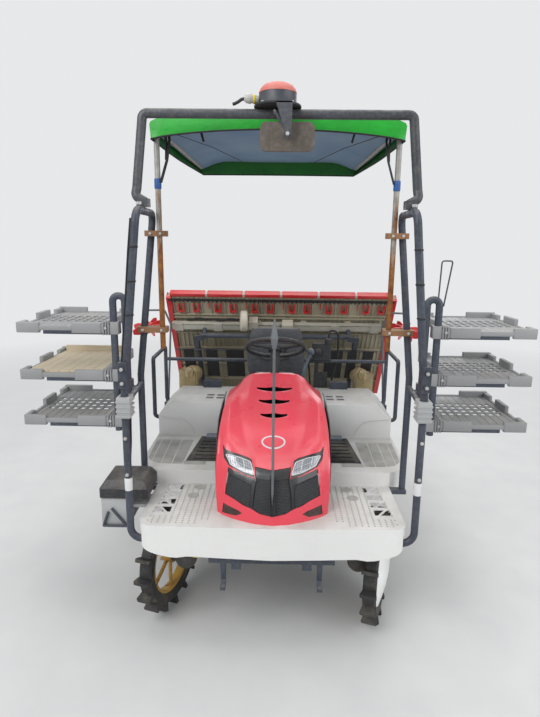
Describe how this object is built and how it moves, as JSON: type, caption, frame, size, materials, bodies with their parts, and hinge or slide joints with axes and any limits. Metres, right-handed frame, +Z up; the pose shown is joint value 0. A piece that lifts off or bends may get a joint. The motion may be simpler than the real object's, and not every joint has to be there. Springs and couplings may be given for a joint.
{
  "type": "ride-on rice transplanter",
  "caption": "Ride-on rice transplanter with a raised planting unit, seedling table, spare tray stands, front hoop with canopy, steered lugged wheels and a driver's deck.",
  "frame": {"origin": "on the ground under the middle of the machine's length and width, planting unit raised", "axes": "+Z up, -Y towards the machine's front, +X to the left of a driver who faces forward"},
  "size_m": [2.8006, 2.822, 2.891],
  "materials": {
    "frame_paint": "satin dark grey paint with dust",
    "cast_alloy": "rough grey casting",
    "tan_casting": "rough tan casting",
    "deck_plastic": "off-white moulded plastic, dusty",
    "mat_rubber": "ribbed black rubber",
    "dark_plastic": "dark grey moulded plastic",
    "lever_paint": "satin blue-grey paint",
    "hoop_paint": "dusty charcoal paint",
    "grey_plastic": "light grey moulded plastic",
    "rusty_tube": "rusted bare steel tube",
    "canopy_cloth": "woven green sheet",
    "dusty_plastic": "dusty moulded housing",
    "mirror_back": "dusty mirror back",
    "bonnet_plastic": "glossy coral red",
    "black_grille": "black mesh",
    "lamp_lens": "clear lamp with bright frame",
    "pole_metal": "grey painted rod",
    "seat_vinyl": "dark grey vinyl",
    "tyre_rubber": "black rubber",
    "rim_paint": "ochre paint with rust",
    "table_plastic": "beige-grey moulded plastic",
    "red_plastic": "bright red",
    "rotor_alloy": "bare alloy castings",
    "float_plastic": "blue-grey float",
    "marker_red": "red plastic",
    "tray_plastic": "light grey tray plastic",
    "board_plastic": "beige ribbed board"
  },
  "bodies": {
    "chassis": {"chassis_frame": "frame_paint", "engine_block": "cast_alloy", "front_axle_case": "cast_alloy", "rear_axle_case": "cast_alloy", "deck": "deck_plastic", "floor_mats": "mat_rubber", "seat_box": "deck_plastic", "steering_column": "dark_plastic", "controls": "lever_paint", "side_frames": "frame_paint", "front_hoop": "hoop_paint", "clamp_covers": "grey_plastic", "canopy_poles": "rusty_tube", "canopy": "canopy_cloth", "antenna_unit": "dusty_plastic", "rear_rail": "frame_paint", "side_box": "grey_plastic"},
    "mirror_head": {"rear_mirror": "mirror_back"},
    "box_lid": {"side_box_lid": "dark_plastic"},
    "bonnet_shell": {"bonnet": "bonnet_plastic", "bonnet_grille": "black_grille", "headlamps": "lamp_lens"},
    "pole": {"centre_pole": "pole_metal"},
    "driver_seat": {"seat": "seat_vinyl"},
    "hand_wheel": {"steering_wheel": "dark_plastic"},
    "steer_right": {"knuckle_right": "cast_alloy"},
    "steer_left": {"knuckle_left": "cast_alloy"},
    "front_wheel_right": {"front_tyre_right": "tyre_rubber", "front_rim_right": "rim_paint"},
    "front_wheel_left": {"front_tyre_left": "tyre_rubber", "front_rim_left": "rim_paint"},
    "rear_wheel_right": {"rear_tyre_right": "tyre_rubber", "rear_rim_right": "rim_paint"},
    "rear_wheel_left": {"rear_tyre_left": "tyre_rubber", "rear_rim_left": "rim_paint"},
    "low_link": {"lower_link": "frame_paint"},
    "high_link": {"upper_link": "frame_paint"},
    "planting_unit": {"planting_frame": "frame_paint", "planting_cases": "tan_casting", "floats": "float_plastic"},
    "table": {"seedling_table": "table_plastic", "table_bars": "red_plastic"},
    "rotors": {"planting_rotors": "rotor_alloy"},
    "marker_right": {"marker_arm_right": "pole_metal"},
    "marker_left": {"marker_arm_left": "pole_metal"},
    "marker_star_right": {"marker_wheel_right": "marker_red"},
    "marker_star_left": {"marker_wheel_left": "marker_red"},
    "stand_right": {"tray_stand_right": "frame_paint", "trays_right": "tray_plastic", "lifting_board": "board_plastic"},
    "stand_left": {"tray_stand_left": "frame_paint", "trays_left": "tray_plastic"}
  },
  "joints": [
    {"name": "steer_right_turn", "type": "hinge", "parent": "chassis", "child": "steer_right", "pos_m": [-0.505, -1.045, 0.325], "axis": [0, 0, 1], "range_deg": [-17, 53]},
    {"name": "steer_left_turn", "type": "hinge", "parent": "chassis", "child": "steer_left", "pos_m": [0.505, -1.045, 0.325], "axis": [0, 0, 1], "range_deg": [-17, 53]},
    {"name": "hand_wheel_turn", "type": "hinge", "parent": "chassis", "child": "hand_wheel", "pos_m": [0, -0.485, 1.48], "axis": [0, 0.4695, 0.8829], "range_deg": [-204, 636]},
    {"name": "front_wheel_right_roll", "type": "hinge", "parent": "steer_right", "child": "front_wheel_right", "pos_m": [-0.60962, -1.01101, 0.325], "axis": [0.9511, -0.309, 0], "continuous": true},
    {"name": "front_wheel_left_roll", "type": "hinge", "parent": "steer_left", "child": "front_wheel_left", "pos_m": [0.60962, -1.07899, 0.325], "axis": [0.9511, -0.309, 0], "continuous": true},
    {"name": "rear_wheel_right_roll", "type": "hinge", "parent": "chassis", "child": "rear_wheel_right", "pos_m": [-0.6, 0.015, 0.45], "axis": [1, 0, 0], "continuous": true},
    {"name": "rear_wheel_left_roll", "type": "hinge", "parent": "chassis", "child": "rear_wheel_left", "pos_m": [0.6, 0.015, 0.45], "axis": [1, 0, 0], "continuous": true},
    {"name": "lift", "type": "hinge", "parent": "chassis", "child": "low_link", "pos_m": [0, 0.155, 0.62], "axis": [1, 0, 0], "range_deg": [-45, 0]},
    {"name": "upper_link_swing", "type": "hinge", "parent": "chassis", "child": "high_link", "pos_m": [0, 0.155, 0.85], "axis": [1, 0, 0], "range_deg": [-45, 0]},
    {"name": "unit_level", "type": "hinge", "parent": "low_link", "child": "planting_unit", "pos_m": [0, 0.65347, 0.85244], "axis": [1, 0, 0], "range_deg": [0, 45]},
    {"name": "table_slide", "type": "slide", "parent": "planting_unit", "child": "table", "axis": [1, 0, 0], "range_m": [-0.175, 0.105]},
    {"name": "rotor_spin", "type": "hinge", "parent": "planting_unit", "child": "rotors", "pos_m": [0, 1.295, 0.7], "axis": [1, 0, 0], "continuous": true},
    {"name": "marker_right_swing", "type": "hinge", "parent": "planting_unit", "child": "marker_right", "pos_m": [-0.9, 0.45, 0.8], "axis": [0, 1, 0], "range_deg": [-95, 0]},
    {"name": "marker_left_swing", "type": "hinge", "parent": "planting_unit", "child": "marker_left", "pos_m": [0.9, 0.45, 0.8], "axis": [0, 1, 0], "range_deg": [0, 95]},
    {"name": "marker_star_right_spin", "type": "hinge", "parent": "marker_right", "child": "marker_star_right", "pos_m": [-1.04, 0.45, 1.45], "axis": [-0.1014, -0.3549, 0.9294], "continuous": true},
    {"name": "marker_star_left_spin", "type": "hinge", "parent": "marker_left", "child": "marker_star_left", "pos_m": [1.04, 0.45, 1.45], "axis": [0.1014, -0.3549, 0.9294], "continuous": true},
    {"name": "bonnet_open", "type": "hinge", "parent": "chassis", "child": "bonnet_shell", "pos_m": [0, -0.615, 1.346], "axis": [1, 0, 0], "range_deg": [-35, 0]},
    {"name": "pole_fold", "type": "hinge", "parent": "bonnet_shell", "child": "pole", "pos_m": [0, -1.34, 0.795], "axis": [1, 0, 0], "range_deg": [0, 90]},
    {"name": "seat_tilt", "type": "hinge", "parent": "chassis", "child": "driver_seat", "pos_m": [0, -0.286, 1.0573], "axis": [1, 0, 0], "range_deg": [0, 30]},
    {"name": "box_lid_open", "type": "hinge", "parent": "chassis", "child": "box_lid", "pos_m": [-0.68, -1.045, 0.772], "axis": [0, 1, 0], "range_deg": [0, 80]},
    {"name": "mirror_tilt", "type": "hinge", "parent": "chassis", "child": "mirror_head", "pos_m": [0.047, -1.2233, 2.632], "axis": [1, 0, 0], "range_deg": [-20, 20]},
    {"name": "stand_right_swing", "type": "hinge", "parent": "chassis", "child": "stand_right", "pos_m": [-0.802, -1.045, 1.35], "axis": [0, 0, 1], "range_deg": [-25, 90]},
    {"name": "stand_left_swing", "type": "hinge", "parent": "chassis", "child": "stand_left", "pos_m": [0.802, -1.045, 1.35], "axis": [0, 0, 1], "range_deg": [-90, 25]}
  ],
  "couplings": [
    {"joint": "steer_left_turn", "follows": "steer_right_turn", "ratio": 1},
    {"joint": "hand_wheel_turn", "follows": "steer_right_turn", "ratio": 12},
    {"joint": "upper_link_swing", "follows": "lift", "ratio": 1},
    {"joint": "unit_level", "follows": "lift", "ratio": -1}
  ]
}
